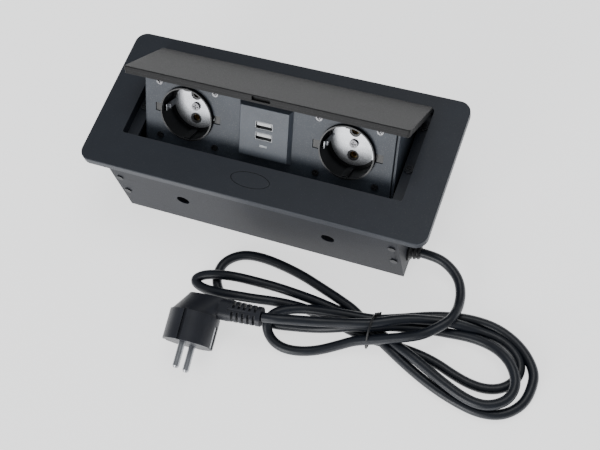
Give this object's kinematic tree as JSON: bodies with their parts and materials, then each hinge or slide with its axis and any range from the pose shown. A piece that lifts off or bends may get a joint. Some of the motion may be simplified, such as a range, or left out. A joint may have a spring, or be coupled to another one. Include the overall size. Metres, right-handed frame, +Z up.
{
  "type": "desk power strip",
  "caption": "Recessed desk power strip: flange frame over a steel casing, spring-up tilting cradle with earthed sockets and charging ports, release button, coiled mains lead and plug.",
  "frame": {"origin": "middle of the casing's underside, on the surface it stands on", "axes": "+X along the length towards the lead, +Y to the hinge side, +Z up"},
  "size_m": [0.358, 0.2335, 0.1111],
  "materials": {
    "flange_black": "satin charcoal, lightly textured",
    "lid_grey": "warm dark grey powder coat",
    "casing_steel": "dark grey powder coat",
    "bracket_steel": "dark grey powder coat",
    "panel_grey": "mid blue-grey, fine matt",
    "socket_black": "black thermoplastic, bright rim",
    "bright_steel": "bright nickel",
    "screw_steel": "bright zinc",
    "screw_black": "black oxide",
    "port_steel": "dull nickel",
    "brass": "plain",
    "usb_grey": "mid blue-grey, satin",
    "tongue_white": "white contact carrier",
    "clear": "clear lens",
    "board_green": "solder mask",
    "wire_black": "PVC insulation",
    "button_black": "satin charcoal",
    "latch_grey": "acetal",
    "terminal_cream": "cream",
    "cord_black": "satin black PVC",
    "plug_black": "matt black moulding",
    "tie_black": "coated wire tie"
  },
  "bodies": {
    "casing": {"flange_frame": "flange_black", "ledge_screws": "screw_black", "casing_walls": "casing_steel", "base_plate": "casing_steel", "base_screws": "screw_steel", "casing_rivets": "screw_black", "end_bracket_left": "bracket_steel", "end_bracket_right": "bracket_steel", "hinge_pins": "screw_steel", "hinge_clips": "screw_steel", "torsion_spring_left": "screw_steel", "torsion_spring_right": "screw_steel", "button_springs": "screw_steel", "latch_housing": "latch_grey", "latch_screws": "screw_steel", "terminal_block": "terminal_cream", "terminal_screws": "brass", "cord_gland": "wire_black", "cord_clamp": "latch_grey", "inner_lead": "cord_black", "power_cord_lead": "cord_black", "power_cord_tail": "cord_black", "cord_hank": "cord_black", "cord_tie": "tie_black", "plug_body": "plug_black", "plug_pins": "bright_steel", "plug_earth_strips": "bright_steel", "plug_strain_relief": "plug_black"},
    "cradle": {"lid_cover": "lid_grey", "lid_carrier": "lid_grey", "cradle_side_left": "panel_grey", "cradle_side_right": "panel_grey", "cradle_back": "casing_steel", "socket_panel": "panel_grey", "panel_screws": "screw_steel", "socket_body_left": "socket_black", "socket_body_right": "socket_black", "earth_plate_left": "bright_steel", "earth_plate_right": "bright_steel", "pin_contacts_left": "brass", "pin_contacts_right": "brass", "socket_screws": "screw_steel", "bus_wires": "wire_black", "usb_bezel": "usb_grey", "usb_port_shells": "port_steel", "usb_tongues": "tongue_white", "usb_lens": "clear", "usb_board": "board_green"},
    "button": {"release_button": "button_black"},
    "latch": {"latch_slide": "latch_grey"}
  },
  "joints": [
    {"name": "cradle_tilt", "type": "hinge", "parent": "casing", "child": "cradle", "pos_m": [0, 0.042, 0.0495], "axis": [1, 0, 0], "range_deg": [0, 41], "stiffness_Nm_per_rad": 0.15, "springref_deg": -126.05},
    {"name": "button_press", "type": "slide", "parent": "casing", "child": "button", "axis": [0, 0, -1], "range_m": [0, 0.003], "stiffness_N_per_m": 500, "springref_m": -0.003, "deforming": ["button_springs"]},
    {"name": "latch_retract", "type": "slide", "parent": "casing", "child": "latch", "axis": [0, -1, 0], "range_m": [0, 0.0015]}
  ],
  "couplings": [
    {"joint": "latch_retract", "follows": "button_press", "ratio": 0.5}
  ]
}
